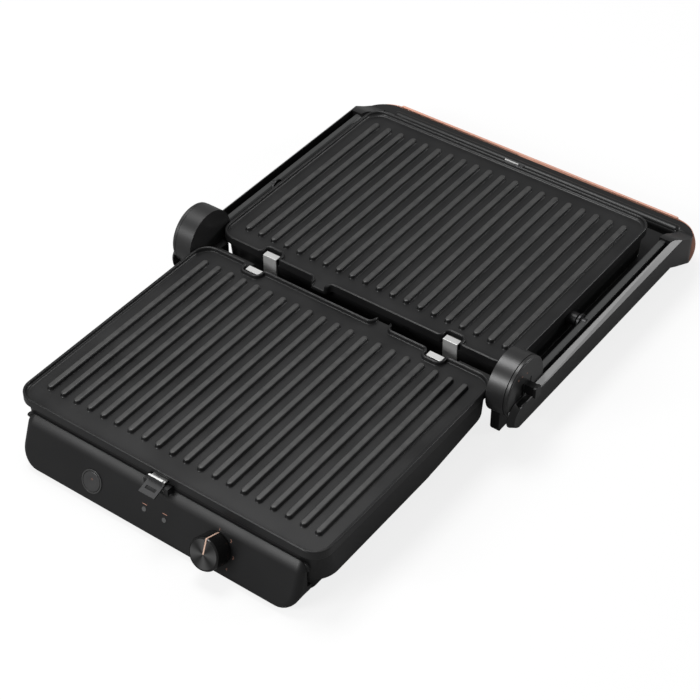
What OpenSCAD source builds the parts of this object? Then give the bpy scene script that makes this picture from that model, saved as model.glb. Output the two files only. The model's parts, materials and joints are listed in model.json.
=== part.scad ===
// Two-plate contact grill, shown opened flat: base, lid, and the yoke that carries the lid and the handle.
// Frame: X to the right, Y away from the front, Z up. The origin is at the centre of the footprint on the counter.
// Inside the modules y = 0 and z = hinge_z is the hinge axis, and the last lines move the whole to its origin.

/* [Plates] */
// Width of each cooking plate
plate_w = 300; // [296:1:304]
// Depth of each cooking plate, hinge side to outer edge
plate_d = 236; // [230:1:240]
// Distance from the hinge axis to each plate's hinge-side edge
edge_gap = 8.9; // [8.6:0.1:9.2]
// Height of the plate rims above the counter
rim_z = 60; // [59.5:0.1:60.5]
// Number of ribs on each plate
rib_count = 20; // [14:1:20]
// Distance from rib to rib
rib_pitch = 13.95; // [12:0.05:13.95]
// Height of a rib above the plate's floor
rib_h = 3.4; // [2:0.1:3.8]
// Width of a rib at its foot
rib_w = 6; // [4:0.2:7]

/* [Housings] */
// Width of the lower body under the tub
body_w = 266; // [262:1:268]
// Wall of the moulded housings
wall = 2.6; // [2.2:0.1:3]
// Height of the tub's underside above the counter
tub_z = 22; // [21.5:0.1:23]
// Height of the lid cover's underside when the grill lies open
lid_z = 27.5; // [27:0.1:29]
// Backward tilt of the control panel from upright
panel_tilt = 21; // [18:1:22]

/* [Hinge] */
// Height of the hinge axis above the counter
hinge_z = 56; // [56:0.5:57]
// Radius of the hinge drums
drum_r = 27.5; // [25:0.5:28]
// Width of a drum between its inner face and its cap
drum_w = 16.1; // [15:0.1:16.1]
// Radius of the hinge pins
pin_r = 8; // [6:0.5:9]
// Radial clearance of a pin in its bore
running = 0.05; // [0.03:0.01:0.08]

/* [Yoke] */
// Half the width over the arms
arm_x = 176.5; // [176:0.1:177.5]
// Distance from the hinge axis to the handle's far face, without its trim
handle_y = 293; // [291:1:296]
// Height of the handle bar above the counter
handle_h = 34.5; // [33:0.5:36]
// Distance from the hinge axis to the lid's pivots
pivot_y = 105.5; // [100:0.5:110]

/* [Controls] */
// Radius of the heat knob
knob_r = 14; // [12:0.5:15]
// Height of the heat knob
knob_h = 15; // [12:0.5:17]
// Radius of the power button
button_r = 8.5; // [7:0.5:9]
// Travel of the power button
button_travel = 1.8; // [1:0.1:2]

/* [Hidden] */
$fn = 48;
eps = 0.01;
gap = 0.1;                       // gap where two pieces of one body meet along a curve
drum_x = 150.9;                  // inner face of a drum
cap_x = drum_x + drum_w + 0.3;   // inner face of a hinge cap
cap_t = 4;
plate_t = 4;                     // thickness of a plate's floor
plate_bottom = rim_z - 8;
floor_z = plate_bottom + plate_t;
frame_top = plate_bottom - 0.6;  // top of the tub and of the lid frame
shell_w = plate_w - 3;
shell_d = plate_d - 3;
shell_r = 24;
lean = 8;                        // growth of the tub's corner radius from its top to the middle of its wall
// (y, z) of the space below the tub, whose underside rises towards the hinge
below = [[-300, 0], [-300, tub_z], [-105, tub_z], [-98, tub_z + 3.2], [-33, tub_z + 9.6], [0, tub_z + 12.8], [0, 0]];
spout_x = -36;
bend = 4;                        // corner radius of the notches and of the spout
notch_x = 93;
notch_w = 17;
notch_d = 9.6;
rib_l = plate_d - 37;
heater_r = 3.25;
heater_z = plate_bottom - heater_r - 0.3;
heater_y = [edge_gap + 62, edge_gap + 174];
pan_z = 35.5;                    // height of the reflector pans
pivot_z = hinge_z - 10;
pivot_r = 4;
latch_y = edge_gap + plate_d + 3.2;
latch_z = plate_bottom - 3.6;
latch_pin_r = 1.2;
arm_wall = 4.9;
arm_bottom = 27;
arm_top = rim_z - 8.6;
rail_x = 160.5;
rail_w = 6.5;
arm_end = 276;
chamfer = 4.4;                   // bright chamfer along an arm's upper edge
corner_r = 26;
trim_t = 4.5;
trim_from = 35;                  // angle on the corner at which the handle's trim begins
handle_in = 273;
front_y = -edge_gap - plate_d + 1.5;
body_front = -238.3;
body_back = -18;
block_w = 270;                   // width of the control block
body_r = 12;
cover_z = 3.5;
bay_w = 186;
bay_y = -54;
tray_top = 24.5;
panel_wall = 2.6;
panel_y = -248.7;                // the panel's upper end, in the plane of its face
panel_z = 39;
knob_at = [60.5, 17];
button_at = [-62.9, 19.6];
lamp_at = [[-10, 18.2], [10, 18.2]];
feet_at = [[-112, -214], [112, -214], [-112, -66], [112, -66]];
cover_screws_at = [[-124, -192], [124, -192], [-124, -90], [124, -90], [0, -192]];
lid_screws_at = [[-133, 50], [133, 50], [-133, 205], [133, 205]];
gland_at = [-58, 14];
tower_screw_z = 43.2;
handle_screws_x = [-120, -40, 40, 120];
handle_screw_y = 284;
lever_x = 182;
frame_z = 43;                    // seam between the lid's cover and its frame
knob_front = panel_y - (knob_at[1] + knob_r - 0.8) * sin(panel_tilt) - (knob_h + 1) * cos(panel_tilt);
origin_shift = [-(lever_x - arm_x) / 2, -(handle_y + trim_t + knob_front) / 2, 0];

// ---- helpers -------------------------------------------------------------------------------------------

// The lid's side is drawn; the base's side is the same, turned half round about the hinge.
module base_side() rotate([0, 0, 180]) children();

// The left of a pair is the right one mirrored.
module left() mirror([1, 0, 0]) children();

// A frame on the control panel: u to the right, v down the face, z out of it.
module on_panel(at) translate([at[0], panel_y - at[1] * sin(panel_tilt), panel_z - at[1] * cos(panel_tilt)])
  rotate([90 - panel_tilt, 0, 0]) children();

// A cylinder along X from x0 to x1, centred at y, z.
module rod_x(x0, x1, y, z, r) translate([x0, y, z]) rotate([0, 90, 0]) cylinder(h = x1 - x0, r = r);

// A cylinder along Y from y0 to y1, centred at x, z.
module rod_y(y0, y1, x, z, r) translate([x, y0, z]) rotate([-90, 0, 0]) cylinder(h = y1 - y0, r = r);

// A block from its low corner to its high corner.
module block(low, high) translate(low) cube(high - low);

// A side profile, drawn as (y, z), extruded from x0 to x1.
module side_profile(x0, x1) translate([x0, 0, 0]) rotate([90, 0, 90]) linear_extrude(height = x1 - x0) children();

// A rectangle about the Z axis from y0 to y1, with its corners rounded.
module rounded_rect(w, y0, y1, r) {
  translate([-w / 2 + r, y0 + r]) square([w - 2 * r, y1 - y0 - 2 * r]);
  translate([-w / 2, y0 + r]) square([w, y1 - y0 - 2 * r]);
  translate([-w / 2 + r, y0]) square([w - 2 * r, y1 - y0]);
  for (x = [-w / 2 + r, w / 2 - r], y = [y0 + r, y1 - r]) translate([x, y]) circle(r);
}

function bezier(a, b, c, d, n) = [for (i = [0 : n]) let (t = i / n, s = 1 - t)
  s * s * s * a + 3 * s * s * t * b + 3 * s * t * t * c + t * t * t * d];

// A pan-head screw, head down, its shank upwards.
module screw(length) {
  difference() {
    cylinder(h = 1.6, r = 3);
    translate([0, 0, -eps]) cylinder(h = 0.9, r = 1.4, $fn = 6);
  }
  translate([0, 0, 1.6 - eps]) cylinder(h = length, r = 1.4);
}

// ---- cooking plates, heaters and what holds them --------------------------------------------------------

// Outline of a plate, its hinge-side edge at y = edge_gap, with two notches and the spout.
module plate_outline() offset(r = bend) offset(r = -2 * bend) offset(r = bend) {
  difference() {
    rounded_rect(plate_w, edge_gap, edge_gap + plate_d, 16);
    for (x = [-notch_x, notch_x]) translate([x - notch_w / 2, edge_gap - 1]) square([notch_w, notch_d + 1]);
  }
  translate([spout_x - 8.5, edge_gap - 7.2]) square([17, 14]);
}

module rib_outline(w, l) {
  square([w, l - w], center = true);
  for (y = [-1, 1] * (l - w) / 2) translate([0, y]) circle(w / 2, $fn = 16);
}

module ribs() for (i = [0 : rib_count - 1])
  translate([(i - (rib_count - 1) / 2) * rib_pitch, edge_gap + plate_d / 2, floor_z - eps])
    linear_extrude(height = rib_h, scale = [0.72, 1 - 1.6 / rib_l], slices = 1) rib_outline(rib_w, rib_l);

module cooking_plate() {
  difference() {
    translate([0, 0, plate_bottom]) linear_extrude(height = rim_z - plate_bottom) plate_outline();
    translate([0, 0, floor_z]) linear_extrude(height = plate_t + 1) difference() {
      offset(delta = -2.2) plate_outline();
      translate([spout_x - 20, edge_gap - 20]) square([40, 13.2]);
    }
    // the spout's lip is cut open so that the fat runs out between its two walls
    block([spout_x - 6.3, edge_gap - 8, floor_z], [spout_x + 6.3, edge_gap + 8, rim_z + 1]);
    // shallow recess of the underside, which leaves a seat along the edge
    translate([0, 0, plate_bottom - 1]) linear_extrude(height = 1.2)
      rounded_rect(plate_w - 44, edge_gap + 22, edge_gap + plate_d - 22, 10);
    // pocket in the outer edge for the latch's nose
    block([-9, edge_gap + plate_d - 2.5, plate_bottom + 0.7], [9, edge_gap + plate_d + 3, plate_bottom + 3.2]);
  }
  // tongues under the hinge-side hooks
  for (x = [-notch_x, notch_x])
    block([x - 6, edge_gap + notch_d - 5, plate_bottom], [x + 6, edge_gap + notch_d + 0.5, plate_bottom + 3]);
  ribs();
}

// Bent tubular element: two long runs, a half ring between them, and two legs that turn down to the wiring.
module heater_path(r, leg_end) {
  bend = (heater_y[1] - heater_y[0]) / 2;
  mid = (heater_y[0] + heater_y[1]) / 2;
  for (y = heater_y) {
    rod_x(-62, 106, y, heater_z, r);
    translate([106, y, heater_z - 9]) rotate([90, 0, 0]) rotate_extrude(angle = 90) translate([9, 0]) circle(r);
    translate([115, y, leg_end]) cylinder(h = heater_z - 9 - leg_end, r = r);
  }
  translate([-62, mid, heater_z]) rotate([0, 0, 90]) rotate_extrude(angle = 180) translate([bend, 0]) circle(r);
}

module reflector() {
  pan = [plate_w - 48, edge_gap + 24, edge_gap + plate_d - 24];
  difference() {
    translate([0, 0, pan_z]) linear_extrude(height = 8) rounded_rect(pan[0], pan[1], pan[2], 18);
    translate([0, 0, pan_z + 1]) linear_extrude(height = 8) rounded_rect(pan[0] - 2, pan[1] + 1, pan[2] - 1, 17);
    for (y = heater_y) translate([115, y, pan_z - 1]) cylinder(h = 3, r = heater_r + 1);
  }
  // saddles that carry the element
  for (x = [-50, 20, 90], y = heater_y) difference() {
    block([x - 2.5, y - 7, pan_z + 1 - eps], [x + 2.5, y + 7, heater_z - 1]);
    rod_x(x - 4, x + 4, y, heater_z, heater_r + gap / 2);
  }
}

// Disc thermostat on its sprung foot, pressed up to the plate.
module thermostat(at) translate(concat(at, pan_z + 1)) {
  cylinder(h = 2, r = 11);
  cylinder(h = 9, r = 8);
  cylinder(h = plate_bottom - pan_z - 1.3, r = 5.5);
}

// Bent steel strap that holds the plate's tongue at the hinge side.
module hooks() for (x = [-notch_x, notch_x]) {
  block([x - 7, edge_gap + 0.2, plate_bottom - 18], [x + 7, edge_gap + 1.45, rim_z - 2.6]);
  block([x - 7, edge_gap + 0.2, rim_z - 3.8], [x + 7, edge_gap + 6.5, rim_z - 2.6]);
}

module latch_pin_solid() rod_x(-12, 12, latch_y, latch_z, latch_pin_r);

// Sheet latch: barrel on its pin, clip with the nose that enters the plate's edge, and the finger tab.
module latch_solid() difference() {
  union() {
    rod_x(-7, 7, latch_y, latch_z, 2.3);
    block([-7, latch_y + 0.6, latch_z], [7, latch_y + 2.2, plate_bottom + 5.4]);
    block([-7, latch_y - 4.6, plate_bottom + 1.2], [7, latch_y + 1, plate_bottom + 2.2]);
    translate([-7.75, latch_y + 0.6, latch_z + 3.2]) rotate([-18, 0, 0]) cube([15.5, 13, 1.4]);
  }
  rod_x(-8, 8, latch_y, latch_z, latch_pin_r + running);
  translate([-5, latch_y + 6, latch_z + 1]) rotate([-18, 0, 0]) translate([0, 0, -4]) cube([10, 3, 9]);
}

// Ears that hold the latch's pin on the outer wall of the tub or of the lid frame.
module latch_ears() for (x = [-12, 8.1]) difference() {
  block([x, edge_gap + plate_d - 2, latch_z - 2.9], [x + 3.9, latch_y + 2.6, frame_top]);
  rod_x(x - 1, x + 5, latch_y, latch_z, latch_pin_r);
}

// ---- base ----------------------------------------------------------------------------------------------

module shell_outline(inset, r = shell_r) rounded_rect(shell_w - 2 * inset, edge_gap + 1.5 + inset,
  edge_gap + 1.5 + shell_d - inset, r - inset);

// Tub whose corners grow rounder downwards and whose lower edge is rounded.
module tub_form(inset, low, top) hull() {
  translate([0, 0, low]) linear_extrude(height = 1) shell_outline(2.6 + inset, shell_r + lean);
  translate([0, 0, low + 2]) linear_extrude(height = 1) shell_outline(0.5 + inset);
  translate([0, 0, low + 4]) linear_extrude(height = 1) shell_outline(inset);
  translate([0, 0, top - 8]) linear_extrude(height = 1) shell_outline(inset);
  translate([0, 0, top - 1]) linear_extrude(height = 1) shell_outline(inset, shell_r - lean / 2);
}

module body_outline(inset) rounded_rect(body_w - 2 * inset, body_front + inset, body_back - inset, body_r - inset);

// Posts that carry the reflector, standing on a floor that is high_z near the hinge and low_z far from it.
module pan_posts(high_z, low_z) for (x = [-100, 70]) {
  translate([x, edge_gap + 40, high_z]) cylinder(h = pan_z - high_z, r = 4);
  translate([x, edge_gap + plate_d - 40, low_z]) cylinder(h = pan_z - low_z, r = 4);
}

module below_tub(rise) side_profile(-160, 160) translate([0, rise]) polygon(below);

module base_housing() color("#222222") {
  difference() {
    union() {
      difference() {
        base_side() tub_form(0, tub_z, frame_top);
        below_tub(-eps);
      }
      translate([0, 0, cover_z + 2.5]) linear_extrude(height = 31) body_outline(0);
    }
    // inside of the tub, above a floor that follows its underside
    difference() {
      base_side() tub_form(wall, tub_z + wall, frame_top + 1);
      below_tub(wall - eps);
    }
    // lower body, open below, with walls left standing round the drip tray's bay
    intersection() {
      below_tub(0);
      difference() {
        linear_extrude(height = 40) body_outline(wall);
        block([-bay_w / 2 - wall, bay_y - wall, -1], [bay_w / 2 + wall, 0, 41]);
      }
    }
    intersection() {
      below_tub(0);
      block([-bay_w / 2, bay_y, 0], [bay_w / 2, body_back + 1, 40]);
    }
    for (y = heater_y) translate([-115, -y, tub_z - 1]) cylinder(h = 14, r = heater_r + 1);
    // windows of the front wall behind the switch and the regulator
    block([-78, body_front - 1, 8], [-48, body_front + wall + 1, tub_z - 2]);
    block([46, body_front - 1, 8], [75, body_front + wall + 1, tub_z - 2]);
    rod_x(-body_w / 2 - 1, -body_w / 2 + wall + 1, gland_at[0], gland_at[1], 5.6);
    for (x = [-1, 1] * 112) rod_y(-edge_gap - 1.5 - wall - 1, -edge_gap, x, tower_screw_z, 1.5);
  }
  for (p = cover_screws_at) translate([p[0], p[1], cover_z + 2.5]) difference() {
    cylinder(h = tub_z - cover_z + (p[1] > -105 ? 3 : -1), r = 3.6);
    translate([0, 0, -eps]) cylinder(h = 12, r = 1.45);
  }
  base_side() pan_posts(31.5, tub_z + 1);
  base_side() latch_ears();
}

// Side profile of the control block, drawn as (y, z), with its nose and crease rounded.
module control_profile(inset) difference() {
  offset(delta = -inset) offset(r = 7) offset(delta = -7) polygon([
    [-200, 70.3], [panel_y + 4 * tan(panel_tilt), panel_z + 4], [panel_y - 34 * tan(panel_tilt), 5], [-200, 5]]);
  translate([front_y - 0.2, tub_z - 0.1]) square([80, 60]);
  translate([body_front - 0.2, -10]) square([80, 90]);
}

// The block's ends are rounded along the tilted face, and below.
module control_form(inset) intersection() {
  side_profile(-140, 140) control_profile(inset);
  on_panel([0, 60]) rotate([-90, 0, 0]) linear_extrude(height = 120)
    rounded_rect(block_w - 2 * inset, inset, 90, 12 - inset);
  translate([0, -200, 0]) rotate([90, 0, 0]) linear_extrude(height = 80)
    rounded_rect(block_w - 2 * inset, 5 + inset, 90, 16 - inset);
}

module control_housing() color("#1f1f1f") {
  difference() {
    control_form(0);
    difference() {
      control_form(wall);
      block([-140, front_y - 2.8, tub_z + 3], [140, front_y, 60]);
    }
    on_panel(knob_at) translate([0, 0, -8]) cylinder(h = 16, r = 4.6);
    on_panel(button_at) translate([0, 0, -8]) cylinder(h = 16, r = button_r + 1.15);
    for (p = lamp_at) on_panel(p) translate([0, 0, -8]) cylinder(h = 16, r = 2.05);
  }
  for (u = [-16, 16]) on_panel([u, 18.2]) translate([0, 0, -7.4]) cylinder(h = 5, r = 2);
}

module bottom_cover() color("#1b1b1b") difference() {
  translate([0, 0, cover_z]) linear_extrude(height = 2.5) body_outline(0.6);
  for (p = feet_at) translate([p[0], p[1], 0]) cylinder(h = 20, r = 2.5);
  for (p = cover_screws_at) translate([p[0], p[1], 0]) cylinder(h = 20, r = 1.5);
  for (i = [-5 : 5]) translate([i * 9, -150, cover_z - 1]) linear_extrude(height = 6) rib_outline(3, 60);
}

module rubber_feet() color("#2b2b2b") for (p = feet_at) translate([p[0], p[1], 0]) {
  cylinder(h = 1, r = 8);
  translate([0, 0, 1 - eps]) cylinder(h = cover_z - 1 + eps, r = 9);
  translate([0, 0, cover_z - eps]) cylinder(h = 4, r = 2.45);
}

// Drum, web and leg of the right hinge tower; the drum is hollow behind its cap.
module tower() {
  difference() {
    union() {
      difference() {
        rod_x(drum_x, drum_x + drum_w, 0, hinge_z, drum_r);
        difference() {
          rod_x(drum_x + 4, drum_x + drum_w + 1, 0, hinge_z, drum_r - 3.2);
          rod_x(drum_x, drum_x + drum_w + 2, 0, hinge_z, pin_r + 4);
        }
      }
      // leg, set back behind the hinge axis and drawn in at its toe
      side_profile(144, drum_x + 1.3)
        polygon([[-5, 46], [-5, 3], [-3.5, 0], [13.5, 0], [16, 12], [16, 46]]);
      // web to the tub's rear wall, with a rib below it; the space beside the leg stays open
      block([106, -edge_gap - 1.4, 37], [144.1, 4.5, 47]);
      side_profile(140, 144.1) polygon([[-3, 37.1], [4.5, 37.1], [4.5, 28]]);
    }
    rod_x(drum_x + 3, drum_x + drum_w + 1, 0, hinge_z, pin_r + running);
    rod_y(-40, 20, 112, tower_screw_z, 1.5);
    for (x = [117, 131]) block([x, -edge_gap + 1, 36], [x + 10, 6, 44]);
  }
}

module right_hinge_tower() color("#262626") tower();
module left_hinge_tower() color("#262626") left() tower();

module lower_plate() color("#3a3a3a") base_side() cooking_plate();
module upper_plate() color("#3a3a3a") cooking_plate();

module lower_heater() color("#8a8a88") base_side() heater_path(heater_r, tub_z - 8);
module upper_heater() color("#8a8a88") heater_path(heater_r, lid_z + 5);

module lower_reflector() color("#b9bcc0") base_side() reflector();
module upper_reflector() color("#b9bcc0") reflector();

module lower_thermostat() color("#c8b48a") base_side() thermostat([30, edge_gap + 118]);
module upper_thermostat() color("#c8b48a") thermostat([30, edge_gap + 118]);

module thermal_fuse() color("#d8d2c0") {
  rod_x(-96, -82, -edge_gap - 118, pan_z + 3, 2);
  for (x = [-104, -82]) rod_x(x, x + 8, -edge_gap - 118, pan_z + 3, 0.6);
}

module rear_hooks() color("#d5d5d5") base_side() hooks();
module lid_hooks() color("#d5d5d5") hooks();

module latch_pin() color("#c0c0c0") base_side() latch_pin_solid();
module lid_latch_pin() color("#c0c0c0") latch_pin_solid();

module latch() color("#bcbcbc") base_side() latch_solid();
module lid_latch() color("#bcbcbc") latch_solid();

module button_bezel() color("#303030") on_panel(button_at) difference() {
  union() {
    translate([0, 0, -4]) cylinder(h = 4.8, r = button_r + 1.1);
    cylinder(h = 0.8, r = button_r + 1.6);
  }
  translate([0, 0, -5]) cylinder(h = 7, r = button_r + 0.3);
}

module power_button() color("#3a3a3a") on_panel(button_at) difference() {
  union() {
    translate([0, 0, -2.5]) cylinder(h = 3.4, r = button_r);
    translate([0, 0, button_travel - 7.8]) cylinder(h = 6 - button_travel, r = 2);
  }
  translate([0, 0, 30.4]) sphere(30, $fn = 64);
}

module switch_body() color("#4a4a4a") on_panel(button_at) {
  translate([-9, -6, -15]) cube([18, 12, 6.6]);
  for (u = [-13, 10.4]) translate([u, -3, -9.5]) cube([wall, 6, 9.5 - panel_wall]);
  for (u = [-13, 8]) translate([u, -3, -10.5]) cube([5, 6, 2.1]);
}

module indicator_lenses() color("#b0b0b0") for (p = lamp_at) on_panel(p) {
  translate([0, 0, -3.6]) cylinder(h = 3.9, r = 2);
  translate([0, 0, -3.6]) cylinder(h = 1, r = 2.8);
}

module indicator_board() color("#2f6b45") on_panel([0, 18.2]) {
  translate([-20, -5, -9]) cube([40, 10, 1.6]);
  for (u = [-10, 10]) translate([u, 0, -7.5]) cylinder(h = 3.6, r = 1.5);
}

module regulator() color("#9a9a96") on_panel(knob_at) difference() {
  union() {
    translate([-11, -10, -15]) cube([22, 13, 12]);
    translate([0, 0, -3.1]) cylinder(h = 3.1, r = 4.5);
  }
  translate([0, 0, -12]) cylinder(h = 14, r = 3 + running);
}

module knob_shaft() color("#c8c8c8") on_panel(knob_at) translate([0, 0, -11.5]) cylinder(h = 19.5, r = 3);

module knob() color("#1a1a1a") on_panel(knob_at) difference() {
  translate([0, 0, 1]) rotate_extrude() polygon([[0, 0], [knob_r, 0], [knob_r, knob_h - 1.5],
    [knob_r - 0.8, knob_h], [knob_r - 1.6, knob_h], [knob_r - 1.6, knob_h - 0.6], [0, knob_h - 0.6]]);
  translate([0, 0, -1]) cylinder(h = 9, r = 3 + running);
  translate([-0.6, knob_r - 0.9, 0]) cube([1.2, 2, knob_h + 2]);
  translate([-0.6, knob_r - 2, knob_h + 0.35]) cube([1.2, 3, 2]);
  translate([0, 0, 0]) rotate_extrude() translate([5, 0]) square([knob_r - 7.5, knob_h - 4]);
}

module knob_face() color("#3c3c3c") on_panel(knob_at) difference() {
  translate([0, 0, knob_h + 0.4]) cylinder(h = 0.5, r = knob_r - 1.7);
  translate([-0.6, 0, 0]) cube([1.2, knob_r, knob_h + 2]);
}

module knob_pointer() color("#c8826a") on_panel(knob_at) {
  translate([-0.55, 0.05, knob_h + 0.4]) cube([1.1, knob_r - 1.7, 0.6]);
  translate([-0.55, knob_r - 0.85, 1]) cube([1.1, 0.9, knob_h - 0.2]);
  translate([-0.55, knob_r - 1.7, knob_h + 0.4]) cube([1.1, 1.2, 0.6]);
}

module terminal_block() color("#d9d4c5") difference() {
  block([-118, -130, cover_z + 2.5], [-104, -104, 18]);
  for (y = [-124, -117, -110]) translate([-111, y, 12]) cylinder(h = 8, r = 1.8);
}

// Moulded gland in the left wall, where a supply cord would leave.
module cord_gland() color("#202020") translate([-body_w / 2, 0, 0]) difference() {
  union() {
    rod_x(-2.4, 0, gland_at[0], gland_at[1], 7.6);
    rod_x(-0.1, wall + 0.1, gland_at[0], gland_at[1], 5.5);
    rod_x(wall, wall + 2, gland_at[0], gland_at[1], 7);
  }
  rod_x(-4, wall + 3, gland_at[0], gland_at[1], 3.6);
}

module base_screws() color("#b5b5b5") for (p = cover_screws_at)
  translate([p[0], p[1], cover_z - 1.6]) screw(11);

module tower_screws() color("#b5b5b5") for (x = [-112, 112])
  translate([x, -edge_gap - 1.5 - wall - 1.6, tower_screw_z]) rotate([-90, 0, 0]) screw(14);

// Slide-in tray that catches the fat below both spouts.
module drip_tray() color("#2a2a2a") {
  low = [-bay_w / 2 + 0.8, bay_y + 1, cover_z + 2.8];
  high = [bay_w / 2 - 0.8, 7.5, tray_top];
  difference() {
    union() {
      block(low, high);
      block([-40, 6, tray_top - 4], [40, 8.4, tray_top]);
    }
    translate([0, 0, low[2] + 1.8]) linear_extrude(height = 40)
      rounded_rect(high[0] - low[0] - 3.6, low[1] + 1.8, high[1] - 1.8, 5);
  }
}

// ---- yoke ----------------------------------------------------------------------------------------------

// Side profile of the whole yoke, drawn as (y, z): round near end, long arm, and the drop to the handle.
module yoke_side() {
  near_r = (arm_top - arm_bottom) / 2;
  translate([-27 + near_r, arm_bottom + near_r]) circle(near_r);
  polygon(concat(
    [[-27 + near_r, arm_top]],
    bezier([236, arm_top], [250, arm_top - 0.5], [258, handle_h + 6], [275, handle_h], 10),
    [[handle_y - 1.5, handle_h - 2.2], [handle_y, handle_h - 4], [handle_y, 1], [handle_y - 1, 0]],
    bezier([282, 0], [270, 11], [258, 13.5], [234, arm_bottom], 10),
    [[-27 + near_r, arm_bottom]]));
}

// Outline of the yoke seen from above, with its two far corners rounded.
module yoke_plan(grow) rounded_rect(2 * arm_x + 2 * grow, -60, handle_y + grow, corner_r + grow);

// Cross-section of an arm's outer cover, drawn as (x, z), with the bright chamfer along its upper edge.
module arm_section() polygon([[150, -1], [arm_x, -1], [arm_x, arm_top - chamfer], [arm_x - chamfer, arm_top],
  [150, arm_top]]);

// Round near end of an arm, on which the chamfer dies out towards the lower edge.
module arm_nose() {
  r = (arm_top - arm_bottom) / 2;
  rod_x(150, arm_x - chamfer, r - 27, arm_bottom + r, r);
  hull() {
    rod_x(arm_x - chamfer - 0.1, arm_x - chamfer, r - 27, arm_bottom + r, r);
    rod_x(arm_x - 0.1, arm_x, r - 27 + chamfer / 2, arm_bottom + r - chamfer / 2, r - chamfer / 2);
  }
}

// The outer cover is a channel: outer wall, bottom web, and a closed end where it meets the handle.
module arm_solid() difference() {
  intersection() {
    side_profile(150, 190) yoke_side();
    translate([0, 0, -1]) linear_extrude(height = 80) yoke_plan(0);
    union() {
      translate([0, arm_end, 0]) rotate([90, 0, 0]) linear_extrude(height = arm_end + 14.8) arm_section();
      arm_nose();
    }
    union() {
      block([cap_x + cap_t, -40, -1], [190, arm_end, 80]);
      block([rail_x, 29.5, -1], [190, arm_end, 80]);
    }
  }
  // groove and rail seat
  block([rail_x - 1, 20, arm_bottom + 3], [arm_x - arm_wall, 238, 80]);
  // cut-out for the lever
  block([cap_x, -16, hinge_z - 8.4], [190, 10, 80]);
  for (y = [40, 130, 225]) translate([rail_x + 3.2, y, arm_bottom - 1]) cylinder(h = 6, r = 1.5);
}

module right_arm() color("#202020") arm_solid();
module left_arm() color("#202020") left() arm_solid();

module rail_solid() difference() {
  translate([0, 238, 0]) rotate([90, 0, 0]) linear_extrude(height = 238 - 29.5) offset(r = 1.2) offset(delta = -1.2)
    polygon([[rail_x, arm_bottom + 3], [rail_x + rail_w, arm_bottom + 3], [rail_x + rail_w, arm_top - 2.4],
      [rail_x + 1.5, arm_top - 2.4], [rail_x, arm_top - 4]]);
  for (y = [40, 130, 225]) translate([rail_x + 3.2, y, arm_bottom]) cylinder(h = 12, r = 1.5);
  rod_x(rail_x - 1, rail_x + rail_w - 2, pivot_y, pivot_z, pivot_r + running);
}

module right_arm_rail() color("#343434") rail_solid();
module left_arm_rail() color("#343434") left() rail_solid();

// Side profile of the bar between the arms, its inner edges rolled.
module bar_side() offset(r = 4.5) offset(delta = -4.5) intersection() {
  yoke_side();
  translate([handle_in, -20]) square([80, 80]);
}

// Handle bar: a shell, open below, that fills the yoke's far end between and round the arms.
module handle_form(inset) intersection() {
  translate([0, 0, -1]) linear_extrude(height = 80) offset(delta = -inset) yoke_plan(0);
  union() {
    intersection() {
      side_profile(-190, 190) offset(delta = -inset) yoke_side();
      block([-190, arm_end + 4 + inset, -1], [190, 300, 80]);
    }
    for (s = [0, 1]) mirror([s, 0, 0]) intersection() {
      side_profile(0, 190) offset(delta = -inset) yoke_side();
      block([rail_x - 4, arm_end + inset, -1], [190, 300, 80]);
    }
    side_profile(-rail_x + 2 + inset, rail_x - 2 - inset) offset(delta = -inset) bar_side();
  }
}

// Space in the handle's underside, set in from its outline.
module grip_form(inset, low, high) translate([0, 0, low]) linear_extrude(height = high - low) intersection() {
  offset(delta = -inset) yoke_plan(0);
  translate([-200, handle_in + 3 + inset]) square([400, 60]);
}

module handle_bar() color("#1e1e1e") difference() {
  handle_form(0);
  difference() {
    union() {
      handle_form(3);
      grip_form(3, -1, 5);
    }
    for (x = handle_screws_x) translate([x, handle_screw_y, 3]) cylinder(h = 40, r = 4);
  }
  for (x = handle_screws_x) translate([x, handle_screw_y, -1]) cylinder(h = 20, r = 1.5);
}

// Plate that closes the handle from below and rests on the counter when the grill lies open.
module handle_grip_plate() color("#262626") difference() {
  grip_form(3.2, 0, 3);
  for (x = handle_screws_x) translate([x, handle_screw_y, -1]) {
    cylinder(h = 4, r = 1.5);
    cylinder(h = 1 + 1.7, r = 3.2);
  }
}

// Convex metal moulding along the handle's far face and round its corners.
module trim_section() intersection() {
  translate([0.05, 0]) square([trim_t, handle_h - 2]);
  translate([trim_t - 38.5, (handle_h - 2) / 2]) circle(38.5, $fn = 96);
}

module handle_trim() color("#c8826a") {
  straight = arm_x - corner_r;
  translate([-straight, handle_y - corner_r, 0]) rotate([90, 0, 90]) linear_extrude(height = 2 * straight)
    translate([corner_r, 0]) trim_section();
  for (s = [0, 1]) mirror([s, 0, 0]) translate([straight, handle_y - corner_r, 0]) rotate([0, 0, trim_from])
    rotate_extrude(angle = 90 - trim_from) translate([corner_r, 0]) trim_section();
}

// Cap of a drum, part of the turning side, with the slot in which the lever runs.
module cap_solid(slotted) difference() {
  union() {
    rod_x(cap_x, cap_x + cap_t - 1, 0, hinge_z, drum_r - 0.2);
    rod_x(cap_x + 1, cap_x + cap_t, 0, hinge_z, drum_r - 1.2);
  }
  rod_x(cap_x - 1, cap_x + 1.5, 0, hinge_z, pin_r + running);
  if (slotted) block([cap_x + 2.3, -15, hinge_z - 7.5], [cap_x + cap_t + 1, 8, hinge_z + 7]);
}

module right_hinge_cap() color("#2a2a2a") cap_solid(true);
module left_hinge_cap() color("#2a2a2a") left() cap_solid(false);

// Hollow pins: the lid's wires pass through them.
module hinge_pins() color("#a8a8a8") for (s = [0, 1]) mirror([s, 0, 0]) difference() {
  rod_x(drum_x + 3.2, cap_x + 1.5, 0, hinge_z, pin_r);
  rod_x(drum_x + 2, cap_x + 0.3, 0, hinge_z, pin_r - 3);
}

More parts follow.
